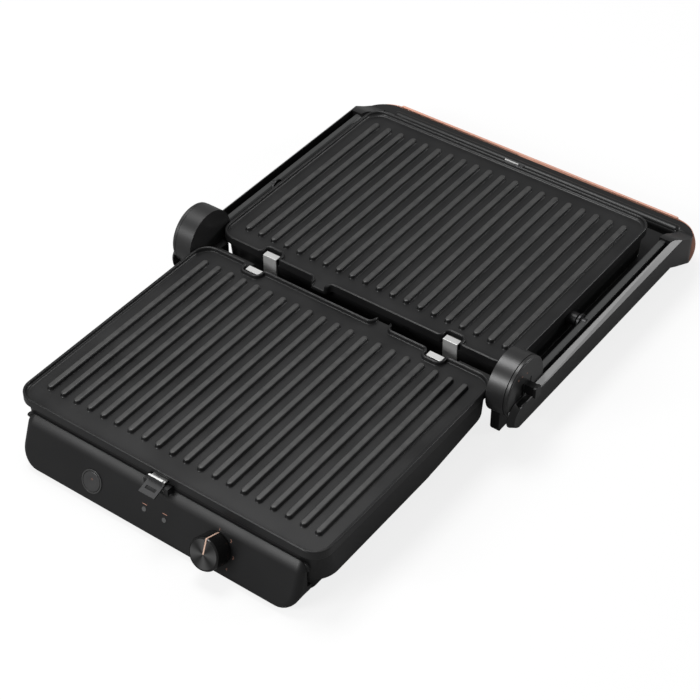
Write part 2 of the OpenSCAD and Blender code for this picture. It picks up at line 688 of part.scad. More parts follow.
module lid_pivot_pins() color("#a8a8a8") for (s = [0, 1]) mirror([s, 0, 0]) {
  rod_x(147, rail_x + rail_w - 2, pivot_y, pivot_z, pivot_r);
  rod_x(rail_x - 1.5, rail_x, pivot_y, pivot_z, pivot_r + 3);
}

module arm_screws() color("#b5b5b5") {
  for (s = [0, 1], y = [40, 130, 225]) mirror([s, 0, 0])
    translate([rail_x + 3.2, y, arm_bottom - 1.6]) screw(12);
  for (x = handle_screws_x) translate([x, handle_screw_y, 0.1]) screw(16);
}

// Thumb lever on the right cap: foot in the slot, stem, and the paddle outside the arm.
module hinge_lever() color("#191919") {
  block([cap_x + 2.6, -3, hinge_z - 7.2], [cap_x + 3.7, 7.5, hinge_z + 6.6]);
  block([cap_x + 3.6, -1.5, hinge_z - 4.5], [lever_x - 2.6, 5, hinge_z + 4.5]);
  side_profile(lever_x - 2.6 - eps, lever_x) offset(r = 1.5) translate([-1, hinge_z - 4]) square([5, 8]);
}

// ---- lid -----------------------------------------------------------------------------------------------

module lid_frame() color("#222222") {
  difference() {
    union() {
      difference() {
        tub_form(0, lid_z, frame_top);
        block([-160, 0, 0], [160, 260, frame_z]);
      }
      for (s = [0, 1]) mirror([s, 0, 0]) rod_x(140, 157, pivot_y, pivot_z, 5.8);
    }
    translate([0, 0, frame_z - 1]) linear_extrude(height = 20) shell_outline(3);
    block([-145.5, 80, 0], [145.5, 130, 80]);
    for (s = [0, 1]) mirror([s, 0, 0]) rod_x(130, 160, pivot_y, pivot_z, pivot_r + running);
    block([-160, 80, 30], [160, 130, frame_z]);
  }
  for (p = lid_screws_at) difference() {
    hull() {
      translate([p[0], p[1], frame_z]) cylinder(h = 5, r = 4);
      translate([sign(p[0]) * 144.6, p[1], frame_z]) cylinder(h = 5, r = 2);
    }
    translate([p[0], p[1], frame_z - eps]) cylinder(h = 6, r = 1.45);
  }
  latch_ears();
}

module lid_cover() color("#1d1d1d") {
  difference() {
    tub_form(0, lid_z, frame_top);
    tub_form(wall, lid_z + wall, frame_top + 1);
    block([-160, 0, frame_z], [160, 260, 80]);
    for (s = [0, 1]) mirror([s, 0, 0]) block([140, pivot_y - 8, pivot_z - 8], [170, pivot_y + 8, 80]);
    for (p = lid_screws_at) translate([p[0], p[1], 0]) cylinder(h = 80, r = 1.5);
  }
  pan_posts(lid_z + 1, lid_z + 1);
  for (p = lid_screws_at) translate([p[0], p[1], lid_z + wall - eps]) difference() {
    cylinder(h = frame_z - lid_z - wall, r = 4);
    translate([0, 0, -1]) cylinder(h = 40, r = 1.5);
  }
}

module lid_screws() color("#b5b5b5") for (p = lid_screws_at)
  translate([p[0], p[1], lid_z - 1.6]) screw(frame_z - lid_z + 4.5);

// ---- assembly ------------------------------------------------------------------------------------------

module place() translate(origin_shift) children();

place() base_housing();
place() control_housing();
place() bottom_cover();
place() rubber_feet();
place() left_hinge_tower();
place() right_hinge_tower();
place() lower_plate();
place() lower_heater();
place() lower_reflector();
place() lower_thermostat();
place() thermal_fuse();
place() rear_hooks();
place() latch_pin();
place() button_bezel();
place() switch_body();
place() indicator_lenses();
place() indicator_board();
place() regulator();
place() terminal_block();
place() cord_gland();
place() base_screws();
place() tower_screws();
place() power_button();
place() knob();
place() knob_face();
place() knob_pointer();
place() knob_shaft();
place() latch();
place() drip_tray();
place() left_arm();
place() right_arm();
place() left_arm_rail();
place() right_arm_rail();
place() handle_bar();
place() handle_grip_plate();
place() handle_trim();
place() left_hinge_cap();
place() right_hinge_cap();
place() hinge_pins();
place() lid_pivot_pins();
place() arm_screws();
place() hinge_lever();
place() lid_frame();
place() lid_cover();
place() upper_plate();
place() upper_heater();
place() upper_reflector();
place() upper_thermostat();
place() lid_hooks();
place() lid_latch_pin();
place() lid_latch();
place() lid_screws();
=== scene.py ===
"""The dressed two-plate contact grill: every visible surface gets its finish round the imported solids."""
import json
import math

import bmesh
import bpy
from mathutils import Matrix, Vector


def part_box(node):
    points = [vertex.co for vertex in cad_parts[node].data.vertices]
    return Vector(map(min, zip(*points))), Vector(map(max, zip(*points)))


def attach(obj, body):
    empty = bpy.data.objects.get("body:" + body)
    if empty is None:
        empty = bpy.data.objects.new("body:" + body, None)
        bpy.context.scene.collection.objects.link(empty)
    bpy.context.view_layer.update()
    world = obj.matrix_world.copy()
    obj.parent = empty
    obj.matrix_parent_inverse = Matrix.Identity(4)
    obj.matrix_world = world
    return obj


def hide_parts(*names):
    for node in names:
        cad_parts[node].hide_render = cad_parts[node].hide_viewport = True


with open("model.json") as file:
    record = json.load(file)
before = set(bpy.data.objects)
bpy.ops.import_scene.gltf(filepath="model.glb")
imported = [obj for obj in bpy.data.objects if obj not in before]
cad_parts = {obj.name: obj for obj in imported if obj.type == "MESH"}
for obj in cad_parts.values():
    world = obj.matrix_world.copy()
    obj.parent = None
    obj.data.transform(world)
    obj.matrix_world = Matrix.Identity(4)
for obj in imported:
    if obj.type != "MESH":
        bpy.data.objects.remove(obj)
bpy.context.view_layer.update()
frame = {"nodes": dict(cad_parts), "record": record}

MM = 0.001
# The part's own origin, as it lies in this frame: x = 0 between the plates' sides, y = 0 on the hinge axis.
PART_ORIGIN = Vector((-2.75, -11.52, 0.0)) * MM


# ---- Camera and studio ---------------------------------------------------------------------------------
# A long lens looks down on the front right corner of the grill, from the height of a standing person.
# The floor is a pale sheet; soft boxes in front, above and to the right draw the highlights on the black.
camera_data = bpy.data.cameras.new("camera")
camera_data.sensor_width = 36.0
camera_data.lens = 96.14
camera_data.clip_end = 20.0
camera = bpy.data.objects.new("camera", camera_data)
camera.location = (0.69591, -0.97299, 1.06252)
camera.rotation_euler = (math.radians(90.0 - 41.625), 0.0, math.radians(36.04))
bpy.context.scene.collection.objects.link(camera)
bpy.context.scene.camera = camera
bpy.context.scene.view_settings.view_transform = "Standard"


def new_object(name, mesh):
    obj = bpy.data.objects.new(name, mesh)
    bpy.context.scene.collection.objects.link(obj)
    return obj


def new_material(name):
    """An empty node material; returns it with its tree and its shader."""
    material = bpy.data.materials.new(name)
    material.use_nodes = True
    tree = material.node_tree
    return material, tree, tree.nodes["Principled BSDF"]


def soft_box(name, place, aim, width, height, power):
    data = bpy.data.lights.new(name, "AREA")
    data.shape = "RECTANGLE"
    data.size = width
    data.size_y = height
    data.energy = power
    lamp = bpy.data.objects.new(name, data)
    lamp.location = place
    lamp.rotation_euler = (Vector(aim) - Vector(place)).to_track_quat("-Z", "Y").to_euler()
    bpy.context.scene.collection.objects.link(lamp)


soft_box("front_box", (-0.62, -1.8, 1.12), (0.1, 0.0, 0.05), 1.0, 0.55, 26.0)
soft_box("top_box", (-0.55, 0.2, 1.9), (0.0, 0.1, 0.0), 0.9, 0.7, 22.0)
soft_box("right_box", (1.5, 1.5, 0.75), (0.17, 0.12, 0.05), 0.8, 0.4, 14.0)

world = bpy.data.worlds.new("studio")
world.use_nodes = True
bpy.context.scene.world = world
sky = world.node_tree.nodes["Background"]
sky.inputs["Color"].default_value = (1.0, 1.0, 1.0, 1.0)
sky.inputs["Strength"].default_value = 0.32
plain = world.node_tree.nodes.new("ShaderNodeBackground")
rays = world.node_tree.nodes.new("ShaderNodeLightPath")
choose = world.node_tree.nodes.new("ShaderNodeMixShader")
world.node_tree.links.new(rays.outputs["Is Camera Ray"], choose.inputs["Fac"])
world.node_tree.links.new(sky.outputs["Background"], choose.inputs[1])
world.node_tree.links.new(plain.outputs["Background"], choose.inputs[2])
world.node_tree.links.new(choose.outputs["Shader"], world.node_tree.nodes["World Output"].inputs["Surface"])

FLOOR_HALF = 4.0
floor_mesh = bpy.data.meshes.new("floor")
floor_mesh.from_pydata(
    [(x, y, 0.0) for x, y in ((-FLOOR_HALF, -FLOOR_HALF), (FLOOR_HALF, -FLOOR_HALF),
                              (FLOOR_HALF, FLOOR_HALF), (-FLOOR_HALF, FLOOR_HALF))],
    [], [(0, 1, 2, 3)])
floor = new_object("floor", floor_mesh)
floor_finish, floor_tree, floor_shader = new_material("studio_floor")
floor_shader.inputs["Roughness"].default_value = 0.9
floor_glow = floor_tree.nodes.new("ShaderNodeEmission")
floor_rays = floor_tree.nodes.new("ShaderNodeLightPath")
# the camera sees the sheet pale, and the black surfaces mirror it darker, as they would a studio's dark room
floor_tone = floor_tree.nodes.new("ShaderNodeMapRange")
floor_tone.inputs["To Min"].default_value = 0.28
floor_tone.inputs["To Max"].default_value = 0.92
floor_share = floor_tree.nodes.new("ShaderNodeMath")
floor_share.operation = "MULTIPLY"
floor_share.inputs[1].default_value = 0.8
floor_mix = floor_tree.nodes.new("ShaderNodeMixShader")
floor_tree.links.new(floor_rays.outputs["Is Camera Ray"], floor_tone.inputs["Value"])
floor_tree.links.new(floor_tone.outputs["Result"], floor_shader.inputs["Base Color"])
floor_tree.links.new(floor_rays.outputs["Is Camera Ray"], floor_share.inputs[0])
floor_tree.links.new(floor_share.outputs["Value"], floor_mix.inputs["Fac"])
floor_tree.links.new(floor_shader.outputs["BSDF"], floor_mix.inputs[1])
floor_tree.links.new(floor_glow.outputs["Emission"], floor_mix.inputs[2])
floor_tree.links.new(floor_mix.outputs["Shader"], floor_tree.nodes["Material Output"].inputs["Surface"])
floor_mesh.materials.append(floor_finish)


# ---- Base housing --------------------------------------------------------------------------------------
# The tub and lower body are one moulding in black glass-filled plastic with a fine satin grain.
# Like most pieces it is finished as the bench would: every arris of the solid is broken with a small round.
def grain_group():
    """Moulded grain: a height for the bump, and a slow tone that drifts over the surface."""
    group = bpy.data.node_groups.new("moulded_grain", "ShaderNodeTree")
    group.interface.new_socket("Grain Size", in_out="INPUT", socket_type="NodeSocketFloat")
    group.interface.new_socket("Drift Size", in_out="INPUT", socket_type="NodeSocketFloat")
    group.interface.new_socket("Height", in_out="OUTPUT", socket_type="NodeSocketFloat")
    group.interface.new_socket("Tone", in_out="OUTPUT", socket_type="NodeSocketFloat")
    nodes, links = group.nodes, group.links
    inside = nodes.new("NodeGroupInput")
    outside = nodes.new("NodeGroupOutput")
    place = nodes.new("ShaderNodeTexCoord")
    fine = nodes.new("ShaderNodeTexNoise")
    fine.inputs["Detail"].default_value = 2.0
    slow = nodes.new("ShaderNodeTexNoise")
    slow.inputs["Detail"].default_value = 4.0
    links.new(place.outputs["Object"], fine.inputs["Vector"])
    links.new(place.outputs["Object"], slow.inputs["Vector"])
    links.new(inside.outputs["Grain Size"], fine.inputs["Scale"])
    links.new(inside.outputs["Drift Size"], slow.inputs["Scale"])
    links.new(fine.outputs["Fac"], outside.inputs["Height"])
    links.new(slow.outputs["Fac"], outside.inputs["Tone"])
    return group


MOULDED_GRAIN = grain_group()


def finish(name, dark, light, rough, spread=0.05, metallic=0.0, gloss=0.5, grain=1400.0, depth=0.03, drift=14.0,
           bump=0.25):
    """A satin surface: colour drifts from dark to light, and roughness by spread, over a grain depth mm deep."""
    material, tree, shader = new_material(name)
    nodes, links = tree.nodes, tree.links
    group = nodes.new("ShaderNodeGroup")
    group.node_tree = MOULDED_GRAIN
    group.inputs["Grain Size"].default_value = grain
    group.inputs["Drift Size"].default_value = drift
    colours = nodes.new("ShaderNodeValToRGB")
    colours.color_ramp.elements[0].position = 0.3
    colours.color_ramp.elements[0].color = (*dark, 1.0)
    colours.color_ramp.elements[1].position = 0.7
    colours.color_ramp.elements[1].color = (*light, 1.0)
    links.new(group.outputs["Tone"], colours.inputs["Fac"])
    links.new(colours.outputs["Color"], shader.inputs["Base Color"])
    sheen = nodes.new("ShaderNodeMapRange")
    sheen.inputs["From Min"].default_value = 0.3
    sheen.inputs["From Max"].default_value = 0.7
    sheen.inputs["To Min"].default_value = rough - spread
    sheen.inputs["To Max"].default_value = rough + spread
    links.new(group.outputs["Tone"], sheen.inputs["Value"])
    links.new(sheen.outputs["Result"], shader.inputs["Roughness"])
    relief = nodes.new("ShaderNodeBump")
    relief.inputs["Strength"].default_value = bump
    relief.inputs["Distance"].default_value = depth * MM
    links.new(group.outputs["Height"], relief.inputs["Height"])
    links.new(relief.outputs["Normal"], shader.inputs["Normal"])
    shader.inputs["Metallic"].default_value = metallic
    shader.inputs["Specular IOR Level"].default_value = gloss
    return material


def settled(obj):
    """The object with its modifiers made real, as a plain mesh."""
    bpy.context.view_layer.update()
    mesh = bpy.data.meshes.new_from_object(obj.evaluated_get(bpy.context.evaluated_depsgraph_get()))
    obj.modifiers.clear()
    obj.data = mesh
    return obj


def broken_edges(obj, width, segments=2, angle=30.0):
    """Rounds every arris of the piece and shades it so that the flats stay flat."""
    bevel = obj.modifiers.new("arris", "BEVEL")
    bevel.width = width * MM
    bevel.segments = segments
    bevel.limit_method = "ANGLE"
    bevel.angle_limit = math.radians(angle)
    bevel.use_clamp_overlap = True
    for face in obj.data.polygons:
        face.use_smooth = True
    weight = obj.modifiers.new("flats", "WEIGHTED_NORMAL")
    weight.keep_sharp = True
    return settled(obj)


def clean_copy(node, joined=True):
    """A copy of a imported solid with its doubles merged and, if asked, its flat triangles joined."""
    mesh = frame["nodes"][node].data.copy()
    shape = bmesh.new()
    shape.from_mesh(mesh)
    bmesh.ops.remove_doubles(shape, verts=shape.verts, dist=2e-6)
    if joined:
        bmesh.ops.dissolve_limit(shape, angle_limit=math.radians(0.5), verts=shape.verts, edges=shape.edges)
    shape.to_mesh(mesh)
    shape.free()
    mesh.materials.clear()
    return mesh


BODY_OF = {node: body for body, members in frame["record"]["behaviour"]["bodies"].items() for node in members}


def fitted(piece, node):
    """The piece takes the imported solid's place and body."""
    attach(piece, BODY_OF[node])
    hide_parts(node)
    return piece


def dressed(node, material, width=0.5, segments=2, angle=30.0, joined=True):
    """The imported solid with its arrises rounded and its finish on."""
    mesh = clean_copy(node, joined)
    mesh.materials.append(material)
    piece = new_object(node + "_finished", mesh)
    return fitted(broken_edges(piece, width, segments, angle), node)


def painted(node, material):
    """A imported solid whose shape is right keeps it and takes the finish."""
    mesh = frame["nodes"][node].data
    mesh.materials.clear()
    mesh.materials.append(material)


moulding = finish("black_moulding", (0.0075, 0.0075, 0.0078), (0.0105, 0.0105, 0.0108), 0.42, gloss=0.3)
dressed("base_housing", moulding, 0.8, 3)
dressed("bottom_cover", moulding, 0.5)

# ---- Feet ----------------------------------------------------------------------------------------------
# Four moulded rubber feet are pushed into the cover; rubber is matt and a little lighter.
foot_rubber = finish("foot_rubber", (0.028, 0.028, 0.028), (0.04, 0.04, 0.04), 0.75, gloss=0.3, grain=500.0)
dressed("rubber_feet", foot_rubber, 0.3)

# ---- Control housing -----------------------------------------------------------------------------------
# The sloped control block in front of the tub is a moulded shell, open at its back. Its outline has large
# lower corners, the edge round its face is a soft round, and it is bored for the knob, button and lamps.
PANEL_TILT = math.radians(21.0)
PANEL_Y, PANEL_Z = -248.7, 39.0    # the panel's upper edge, in mm from the part's origin
PANEL_TOP = PART_ORIGIN + Vector((0.0, PANEL_Y, PANEL_Z)) * MM
PANEL_DOWN = Vector((0.0, -math.sin(PANEL_TILT), -math.cos(PANEL_TILT)))
PANEL_OUT = Vector((0.0, -math.cos(PANEL_TILT), math.sin(PANEL_TILT)))
# places on the panel as (across, down), the radii of the bores there and the bores' length, in mm
KNOB_AT, BUTTON_AT, LAMPS_AT = (60.5, 17.0), (-62.9, 19.6), ((-10.0, 18.2), (10.0, 18.2))
SHAFT_BORE, BUTTON_BORE, LAMP_BORE, BORE_LENGTH = 4.6, 8.65, 2.05, 20.0
# half width, lower and upper edge, and corner radii of the block's outline, in mm
BLOCK_HALF, BLOCK_LOW, BLOCK_HIGH, LOW_CORNER, HIGH_CORNER = 137.6, 1.6, 43.0, 18.0, 7.5
TUB_UNDER = 21.9               # height of the tub's underside over the block, in mm
BACK_HIGH, BACK_LOW = -243.6, -238.5    # the block's back, over and under that height
BACK_RISE = 2.1                # how much higher the top's back edge lies than its front edge
EDGE_ROUND, SHELL_WALL = 6.5, 2.5       # width of the round along the face's edge, and the wall
CORNER_STEPS = 8


def on_panel(across, down, out=0.0):
    """A point of the panel: across to the right, down its face and out of it, in mm."""
    return PANEL_TOP + Vector((across, 0.0, 0.0)) * MM + PANEL_DOWN * down * MM + PANEL_OUT * out * MM


def panel_matrix(across, down, out=0.0):
    """Lays a flat shape drawn in X and Y on the panel, X to the right and Y up its face."""
    return Matrix.Translation(on_panel(across, down, out)) @ Matrix((
        (1.0, 0.0, 0.0), (0.0, -PANEL_DOWN.y, PANEL_OUT.y), (0.0, -PANEL_DOWN.z, PANEL_OUT.z))).to_4x4()


def block_outline():
    """The block seen from the front, as (x, z) points in mm, from its upper left corner round by its foot."""
    points = []
    for side in (-1.0, 1.0):
        corners = [(HIGH_CORNER, BLOCK_HIGH - HIGH_CORNER, 90.0, 0.0),
                   (LOW_CORNER, BLOCK_LOW + LOW_CORNER, 0.0, -90.0)]
        arc = []
        for radius, height, start, end in corners:
            for step in range(CORNER_STEPS + 1):
                turn = math.radians(start + (end - start) * step / CORNER_STEPS)
                across = BLOCK_HALF - radius + radius * math.cos(turn)
                arc.append((side * across, height + radius * math.sin(turn)))
        points += arc if side < 0.0 else arc[::-1]
    return points


def block_shell():
    """The shell before its bores: a face in the panel's plane, sides that run back to the tub and the body."""
    outline = block_outline()
    shape = bmesh.new()
    front, middle, back = [], [], []
    for x, z in outline:
        face_y = PANEL_Y - (PANEL_Z - z) * math.tan(PANEL_TILT)
        rise = BACK_RISE * (z - BLOCK_LOW) / (BLOCK_HIGH - BLOCK_LOW)
        front.append(shape.verts.new(PART_ORIGIN + Vector((x, face_y, z)) * MM))
        middle.append(shape.verts.new(PART_ORIGIN + Vector((x, BACK_HIGH, z + rise)) * MM))
        low = z < TUB_UNDER
        back.append(shape.verts.new(PART_ORIGIN + Vector((x, BACK_LOW, z)) * MM) if low else None)
    count = len(outline)
    for index in range(count):
        after = (index + 1) % count
        shape.faces.new((front[index], middle[index], middle[after], front[after]))
        if back[index] and back[after]:
            shape.faces.new((middle[index], back[index], back[after], middle[after]))
    shape.faces.new(front)
    bmesh.ops.recalc_face_normals(shape, faces=shape.faces)
    soft = shape.edges.layers.float.new("bevel_weight_edge")
    for edge in shape.edges:
        if edge.verts[0] in front and edge.verts[1] in front:
            edge[soft] = 1.0
    mesh = bpy.data.meshes.new("control_block")
    shape.to_mesh(mesh)
    shape.free()
    return mesh


def bores():
    """The cutter for the knob's shaft, the button and the lamps."""
    shape = bmesh.new()
    for across, down, radius in ((*KNOB_AT, SHAFT_BORE), (*BUTTON_AT, BUTTON_BORE),
                                 (*LAMPS_AT[0], LAMP_BORE), (*LAMPS_AT[1], LAMP_BORE)):
        bmesh.ops.create_cone(shape, cap_ends=True, segments=48, radius1=radius * MM, radius2=radius * MM,
                              depth=BORE_LENGTH * MM, matrix=panel_matrix(across, down))
    mesh = bpy.data.meshes.new("bores")
    shape.to_mesh(mesh)
    shape.free()
    return mesh


block = new_object("control_housing_finished", block_shell())
block.data.materials.append(moulding)
edge_round = block.modifiers.new("edge", "BEVEL")
edge_round.width = EDGE_ROUND * MM
edge_round.segments = 6
edge_round.limit_method = "WEIGHT"
edge_round.use_clamp_overlap = False
shell_wall = block.modifiers.new("wall", "SOLIDIFY")
shell_wall.thickness = SHELL_WALL * MM
shell_wall.offset = -1.0
cutter = new_object("bores", bores())
bore_cut = block.modifiers.new("bores", "BOOLEAN")
bore_cut.operation = "DIFFERENCE"
bore_cut.solver = "EXACT"
bore_cut.object = cutter
settled(block)
bpy.data.objects.remove(cutter)
for face in block.data.polygons:
    face.use_smooth = True
block.data.set_sharp_from_angle(angle=math.radians(35.0))
block.modifiers.new("flats", "WEIGHTED_NORMAL").keep_sharp = True
fitted(settled(block), "control_housing")

# ---- Heating parts -------------------------------------------------------------------------------------
# Element, reflector pan, thermostat and fuse sit under each plate, out of sight while the plates are on.
element_skin = finish("element_skin", (0.16, 0.15, 0.14), (0.24, 0.22, 0.2), 0.5, metallic=1.0)
pan_sheet = finish("pan_sheet", (0.62, 0.62, 0.63), (0.72, 0.72, 0.72), 0.3, metallic=1.0, grain=700.0)
ceramic = finish("ceramic", (0.62, 0.58, 0.48), (0.7, 0.67, 0.58), 0.6)
laminate = finish("laminate", (0.03, 0.15, 0.07), (0.04, 0.2, 0.09), 0.45)
for side in ("lower", "upper"):
    painted(side + "_heater", element_skin)
    painted(side + "_reflector", pan_sheet)
    painted(side + "_thermostat", pan_sheet)
painted("thermal_fuse", ceramic)
painted("terminal_block", ceramic)
painted("indicator_board", laminate)
painted("switch_body", moulding)
painted("cord_gland", moulding)

# ---- Cooking plates ------------------------------------------------------------------------------------
# Each plate is cast aluminium under a dark, slightly pebbled non-stick coat. Its rim is a rounded bead that
# runs into the floor in a soft fillet, and one row of twenty ribs with rounded tops stands on the floor.
plate_coat = finish("plate_coat", (0.0095, 0.0095, 0.0098), (0.0155, 0.0155, 0.0158), 0.36, spread=0.06,
                    gloss=0.31, grain=1900.0, depth=0.05, drift=22.0, bump=0.22)
rib_crown = finish("rib_crown", (0.030, 0.030, 0.030), (0.046, 0.046, 0.045), 0.42, spread=0.06, grain=900.0,
                   depth=0.08, drift=160.0, bump=0.4)
RIM_Z, FLOOR_Z, UNDER_Z = 60.0 * MM, 56.0 * MM, 52.0 * MM
RIB_COUNT, RIB_PITCH, RIB_LENGTH = 20, 13.95 * MM, 199.0 * MM
# half width and height of a rib from its foot to its crown, in mm
RIB_PROFILE = [(3.5, -0.3), (3.3, 0.0), (3.0, 0.3), (2.85, 1.0), (2.7, 2.3), (2.5, 2.95), (2.1, 3.3), (1.4, 3.45)]
PLATE_MIDDLE = 126.9 * MM      # from the hinge axis to the middle of a plate
LOWER_ROW_SHIFT = 1.7 * MM     # the lower plate's ribs lie this much nearer to the hinge
PLATE_ROUND = 2.4 * MM         # the widest round on a plate; the shares below are parts of it
BEAD_SHARE, FILLET_SHARE, HINGE_FILLET_SHARE, UNDER_SHARE, OTHER_SHARE = 0.42, 1.0, 0.3, 0.25, 0.12
NEAR_HINGE = 24.0 * MM


def rib_casting():
    """One rib, centred on the origin, as rounded outlines stacked from its foot to its crown."""
    shape = bmesh.new()
    rings = []
    for half, height in RIB_PROFILE:
        run = (RIB_LENGTH / 2 - RIB_PROFILE[1][0] * MM) - (RIB_PROFILE[1][0] - half) * 0.35 * MM
        ring = []
        for end in (1, -1):
            for step in range(9):
                turn = math.pi * step / 8
                ring.append(shape.verts.new((end * half * MM * math.cos(turn),
                                             end * (run + half * MM * math.sin(turn)), height * MM)))
        rings.append(ring)
    for low, high in zip(rings, rings[1:]):
        for index in range(len(low)):
            after = (index + 1) % len(low)
            shape.faces.new((low[index], low[after], high[after], high[index]))
    shape.faces.new(rings[-1])
    shape.faces.new(list(reversed(rings[0])))
    bmesh.ops.recalc_face_normals(shape, faces=shape.faces)
    mesh = bpy.data.meshes.new("rib")
    shape.to_mesh(mesh)
    shape.free()
    for face in mesh.polygons:
        face.use_smooth = True
    return mesh


def row_tree():
    """Repeats a casting along X: count, pitch and the first one's place are its inputs."""
    tree = bpy.data.node_groups.new("casting_row", "GeometryNodeTree")
    tree.interface.new_socket("Geometry", in_out="INPUT", socket_type="NodeSocketGeometry")
    for title, kind in (("Count", "NodeSocketInt"), ("Pitch", "NodeSocketFloat"),
                        ("First X", "NodeSocketFloat"), ("Row Y", "NodeSocketFloat"),
                        ("Row Z", "NodeSocketFloat"), ("Coat", "NodeSocketMaterial")):
        tree.interface.new_socket(title, in_out="INPUT", socket_type=kind)
    tree.interface.new_socket("Geometry", in_out="OUTPUT", socket_type="NodeSocketGeometry")
    nodes, links = tree.nodes, tree.links
    inside = nodes.new("NodeGroupInput")
    outside = nodes.new("NodeGroupOutput")
    start = nodes.new("ShaderNodeCombineXYZ")
    links.new(inside.outputs["First X"], start.inputs["X"])
    links.new(inside.outputs["Row Y"], start.inputs["Y"])
    links.new(inside.outputs["Row Z"], start.inputs["Z"])
    stride = nodes.new("ShaderNodeCombineXYZ")
    links.new(inside.outputs["Pitch"], stride.inputs["X"])
    line = nodes.new("GeometryNodeMeshLine")
    line.mode = "OFFSET"
    links.new(inside.outputs["Count"], line.inputs["Count"])
    links.new(start.outputs["Vector"], line.inputs["Start Location"])
    links.new(stride.outputs["Vector"], line.inputs["Offset"])
    copies = nodes.new("GeometryNodeInstanceOnPoints")
    links.new(line.outputs["Mesh"], copies.inputs["Points"])
    links.new(inside.outputs[0], copies.inputs["Instance"])
    real = nodes.new("GeometryNodeRealizeInstances")
    links.new(copies.outputs["Instances"], real.inputs["Geometry"])
    coat = nodes.new("GeometryNodeSetMaterial")
    links.new(real.outputs["Geometry"], coat.inputs["Geometry"])
    links.new(inside.outputs["Coat"], coat.inputs["Material"])
    links.new(coat.outputs["Geometry"], outside.inputs[0])
    return tree


CASTING_ROW = row_tree()


def row_of(casting, name, material, values):
    """The casting repeated by the row tree, as a plain mesh."""
    obj = new_object(name, casting)
    repeat = obj.modifiers.new("row", "NODES")
    repeat.node_group = CASTING_ROW
    for item in CASTING_ROW.interface.items_tree:
        if item.in_out == "INPUT" and item.name in values:
            repeat[item.identifier] = values[item.name]
        elif item.in_out == "INPUT" and item.name == "Coat":
            repeat[item.identifier] = material
    mesh = settled(obj).data
    bpy.data.objects.remove(obj)
    return mesh


def cast_plate(node, middle_y):
    """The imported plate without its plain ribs, its bead and floor rounded, with the row of cast ribs on it."""
    mesh = clean_copy(node, joined=False)
    shape = bmesh.new()
    shape.from_mesh(mesh)
    low, high = FLOOR_Z - 0.05 * MM, FLOOR_Z + 3.6 * MM
    plain = [face for face in shape.faces if all(low < vert.co.z < high for vert in face.verts)]
    bmesh.ops.delete(shape, geom=plain, context="FACES")
    open_edges = [edge for edge in shape.edges if edge.is_boundary]
    bmesh.ops.contextual_create(shape, geom=open_edges)
    bmesh.ops.recalc_face_normals(shape, faces=shape.faces)
    soft = shape.edges.layers.float.new("bevel_weight_edge")
    for edge in shape.edges:
        if len(edge.link_faces) == 2 and edge.calc_face_angle(0.0) > math.radians(30.0):
            heights = [vert.co.z for vert in edge.verts]
            near_hinge = min(abs(vert.co.y - PART_ORIGIN.y) for vert in edge.verts) < NEAR_HINGE
            if min(heights) > RIM_Z - 0.1 * MM:
                edge[soft] = BEAD_SHARE
            elif abs(heights[0] - FLOOR_Z) < 0.1 * MM and abs(heights[1] - FLOOR_Z) < 0.1 * MM:
                edge[soft] = HINGE_FILLET_SHARE if near_hinge else FILLET_SHARE
            elif max(heights) < UNDER_Z + 0.1 * MM:
                edge[soft] = UNDER_SHARE
            else:
                edge[soft] = OTHER_SHARE
    shape.from_mesh(row_of(rib_casting(), node + "_ribs", plate_coat, {
        "Count": RIB_COUNT, "Pitch": RIB_PITCH, "First X": PART_ORIGIN.x - (RIB_COUNT - 1) / 2 * RIB_PITCH,
        "Row Y": middle_y, "Row Z": FLOOR_Z}))
    shape.to_mesh(mesh)
    shape.free()
    mesh.materials.append(plate_coat)
    mesh.materials.append(rib_crown)
    for face in mesh.polygons:
        face.use_smooth = True
        crown = face.normal.z > 0.8 and face.center.z > FLOOR_Z + 2.9 * MM and face.center.z < RIM_Z - 0.3 * MM
        face.material_index = 1 if crown else 0
    obj = new_object(node + "_finished", mesh)
    bevel = obj.modifiers.new("bead", "BEVEL")
    bevel.width = PLATE_ROUND
    bevel.segments = 3
    bevel.limit_method = "WEIGHT"
    bevel.use_clamp_overlap = False
    weight = obj.modifiers.new("flats", "WEIGHTED_NORMAL")
    weight.keep_sharp = True
    return fitted(settled(obj), node)


cast_plate("lower_plate", PART_ORIGIN.y - PLATE_MIDDLE + LOWER_ROW_SHIFT)
cast_plate("upper_plate", PART_ORIGIN.y + PLATE_MIDDLE)

# ---- Hooks and latches ---------------------------------------------------------------------------------
# Hooks are bent from bright strip. A latch is one stamping: its clip is bright, its finger tab is painted grey.
bright_steel = finish("bright_steel", (0.66, 0.66, 0.65), (0.76, 0.76, 0.75), 0.36, metallic=0.55, bump=0.06)
tab_paint = finish("tab_paint", (0.028, 0.028, 0.029), (0.036, 0.036, 0.037), 0.45, gloss=0.35)
PIN_FROM_END, TAB_FROM_PIN, TAB_UNDER_RIM = 5.5 * MM, 1.2 * MM, 4.6 * MM
for node in ("rear_hooks", "lid_hooks"):
    dressed(node, bright_steel, 0.25)
for node in ("latch", "lid_latch"):
    latch = dressed(node, bright_steel, 0.2)
    latch.data.materials.append(tab_paint)
    low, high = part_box(node)
    outward = -1.0 if node == "latch" else 1.0
    pin_y = high[1] - PIN_FROM_END if node == "latch" else low[1] + PIN_FROM_END
    for face in latch.data.polygons:
        if (face.center.y - pin_y) * outward > TAB_FROM_PIN and face.center.z < RIM_Z - TAB_UNDER_RIM:
            face.material_index = 1

